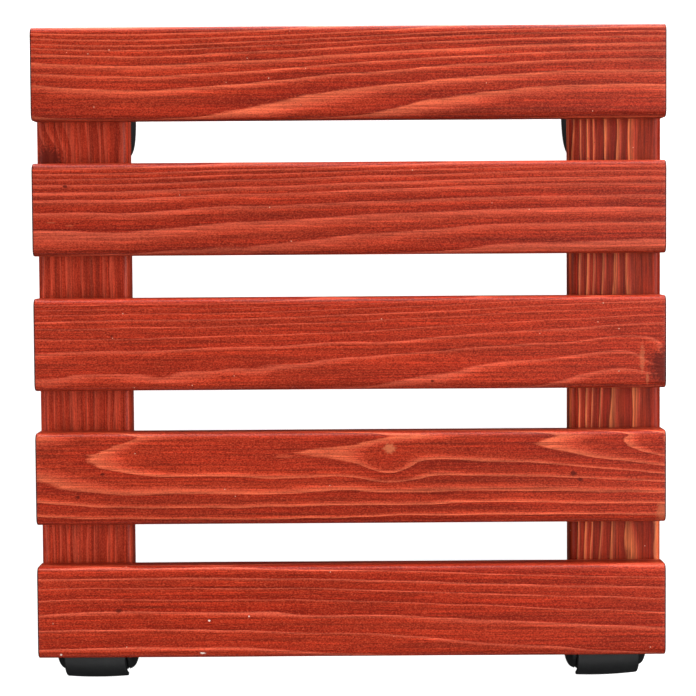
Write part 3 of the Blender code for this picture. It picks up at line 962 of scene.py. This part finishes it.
def stem_mesh(zinc):
    """The pin that the castor swivels on, with its snap groove and its collar."""
    points = [
        (0, STEM_BOTTOM),
        (STEM_RADIUS, STEM_BOTTOM, 0.5 * MM),
        (STEM_RADIUS, STEM_GROOVE_Z - 0.5 * MM, 0.1 * MM),
        (STEM_NECK_RADIUS, STEM_GROOVE_Z, 0.1 * MM),
        (STEM_RADIUS, STEM_GROOVE_Z + 0.5 * MM, 0.1 * MM),
        (STEM_RADIUS, COLLAR_BOTTOM),
        (COLLAR_RADIUS, COLLAR_BOTTOM, 0.25 * MM),
        (COLLAR_RADIUS, COLLAR_TOP, 0.25 * MM),
        (STEM_NECK_RADIUS, COLLAR_TOP),
        (STEM_NECK_RADIUS, STEM_TOP, 0.3 * MM),
        (0, STEM_TOP),
    ]
    return smooth(turned("castor_stem", rounded(points), 64), zinc)


def axle_mesh(zinc):
    """The steel pin through the web, with a wheel at each end."""
    half = AXLE_HALF_LENGTH
    mesh = turned("castor_axle", rounded_rod(AXLE_RADIUS, -half, half, 0.5 * MM), 48)
    mesh.transform(Matrix.Rotation(math.pi / 2, 4, "Y"))
    return smooth(mesh, zinc)


def make_castors(hood_plastic, wheel_plastic, zinc):
    """Plate and stem ride on the platform, hood and axle on the castor, and each wheel on itself."""
    joints = {joint["name"]: joint for joint in frame["joints"]}
    hood, wheel = hood_mesh(hood_plastic), wheel_mesh(wheel_plastic)
    plate, stem, axle = plate_mesh(zinc), stem_mesh(zinc), axle_mesh(zinc)
    axle_place = Matrix.Translation((0, -TRAIL, AXLE_Z))
    for name in CASTOR_NAMES:
        castor = f"castor_{name}"
        pivot = joints[f"{castor}_swivel"]["pos_m"]
        direction = joints[f"{castor}_wheel_right_spin"]["axis"]
        fixed = Matrix.Translation((pivot[0], pivot[1], 0))
        turned_round = fixed @ Matrix.Rotation(math.atan2(direction[1], direction[0]), 4, "Z")
        add_piece(f"{castor}_plate_pressing", plate, fixed, PLATFORM, f"{castor}_plate")
        add_piece(f"{castor}_stem_pin", stem, fixed, PLATFORM, f"{castor}_stem")
        add_piece(f"{castor}_hood_moulding", hood, turned_round, castor, f"{castor}_hood")
        on_axle = turned_round @ axle_place
        add_piece(f"{castor}_axle_pin", axle, on_axle, castor, f"{castor}_axle")
        for side, half_turn in (("right", 0), ("left", math.pi)):
            node = f"{castor}_wheel_{side}"
            place = on_axle @ Matrix.Rotation(half_turn, 4, "Z")
            add_piece(f"{node}_moulding", wheel, place, node, node)


# Stage


def make_floor():
    """A plain pale floor. Its own faint glow keeps it near white, and it takes soft shadows."""
    shape = bmesh.new()
    bmesh.ops.create_grid(shape, x_segments=1, y_segments=1, size=FLOOR_HALF_SIDE)
    mesh = mesh_from(shape, "floor")
    nodes = Nodes("floor")
    nodes.shader.inputs["Base Color"].default_value = (0.5, 0.5, 0.5, 1)
    nodes.shader.inputs["Roughness"].default_value = 0.9
    nodes.shader.inputs["Emission Color"].default_value = (1, 1, 1, 1)
    nodes.shader.inputs["Emission Strength"].default_value = 0.87
    mesh.materials.append(nodes.material)
    floor = bpy.data.objects.new("floor", mesh)
    bpy.context.scene.collection.objects.link(floor)
    floor.location.z = -FLOOR_DROP
    floor.visible_diffuse = False
    floor.visible_glossy = False


def make_world():
    """Soft light from above and behind that fades towards the front, and a pale backdrop for the camera."""
    world = bpy.data.worlds.new("studio")
    bpy.context.scene.world = world
    world.use_nodes = True
    tree = world.node_tree
    direction = tree.nodes.new("ShaderNodeTexCoord").outputs["Generated"]
    height = tree.nodes.new("ShaderNodeVectorMath")
    height.operation = "DOT_PRODUCT"
    height.inputs[1].default_value = (0, 0.5, 0.87)
    fade = tree.nodes.new("ShaderNodeMapRange")
    fade.inputs["From Min"].default_value = -0.1
    fade.inputs["From Max"].default_value = 0.5
    fade.inputs["To Min"].default_value = 0.03
    fade.inputs["To Max"].default_value = 0.12
    background = tree.nodes["Background"]
    background.inputs["Color"].default_value = (1, 1, 1, 1)
    backdrop = tree.nodes.new("ShaderNodeBackground")
    backdrop.inputs["Color"].default_value = (0.97, 0.97, 0.97, 1)
    path = tree.nodes.new("ShaderNodeLightPath")
    choose = tree.nodes.new("ShaderNodeMixShader")
    tree.links.new(direction, height.inputs[0])
    tree.links.new(height.outputs["Value"], fade.inputs["Value"])
    tree.links.new(fade.outputs["Result"], background.inputs["Strength"])
    tree.links.new(path.outputs["Is Camera Ray"], choose.inputs["Fac"])
    tree.links.new(background.outputs["Background"], choose.inputs[1])
    tree.links.new(backdrop.outputs["Background"], choose.inputs[2])
    tree.links.new(choose.outputs["Shader"], tree.nodes["World Output"].inputs["Surface"])


def make_light(name, place, target, size, power):
    """A soft rectangular lamp facing the target."""
    lamp = bpy.data.lights.new(name, "AREA")
    lamp.shape = "RECTANGLE"
    lamp.size, lamp.size_y = size
    lamp.energy = power
    light = bpy.data.objects.new(name, lamp)
    bpy.context.scene.collection.objects.link(light)
    light.visible_camera = False
    light.location = place
    light.rotation_euler = (Vector(target) - Vector(place)).to_track_quat("-Z", "Y").to_euler()


def make_camera(centre):
    data = bpy.data.cameras.new("camera")
    data.lens = CAMERA_LENS
    data.sensor_width = CAMERA_SENSOR
    camera = bpy.data.objects.new("camera", data)
    bpy.context.scene.collection.objects.link(camera)
    camera.location = (centre.x + CAMERA_OFFSET[0], centre.y + CAMERA_OFFSET[1], CAMERA_HEIGHT)
    camera.rotation_euler = [math.radians(angle) for angle in CAMERA_TURN_DEGREES]
    bpy.context.scene.camera = camera


def main():
    low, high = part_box("slat_3")
    centre = (low + high) / 2
    make_camera(centre)
    make_world()
    make_floor()
    make_light("back_softbox", (0.3, 1.25, 1.0), centre, (1.6, 0.9), 10)
    make_light("back_strip", (0.1, 1.1, 0.34), centre, (1.6, 0.3), 20)
    make_light("back_bounce", (0, 0.33, 0.003), (0, 0.33, 1), (1.0, 0.22), 6)
    make_light("front_fill", (0, -1.4, 0.5), centre, (1.4, 0.6), 3.5)
    make_light("sheen_softbox", (0.6, 0.5, 1.5), centre, (0.8, 0.8), 2.8)
    make_light("right_softbox", (1.0, 0.0, 1.25), centre, (0.9, 0.9), 13.5)
    make_light("left_fill", (-1.1, -0.2, 1.2), centre, (1.0, 1.0), 7)
    bpy.context.scene.view_settings.view_transform = "Standard"

    hood_plastic = moulded_plastic("hood_plastic", linear("151617"), linear("1d1e1f"), 0.4)
    wheel_plastic = moulded_plastic("wheel_plastic", linear("18191a"), linear("212223"), 0.34)
    zinc = zinc_plate()
    for node in PLANKS:
        make_board(node, countersinks(node) if node in RAILS else [])
    make_screws(zinc)
    make_castors(hood_plastic, wheel_plastic, zinc)


main()
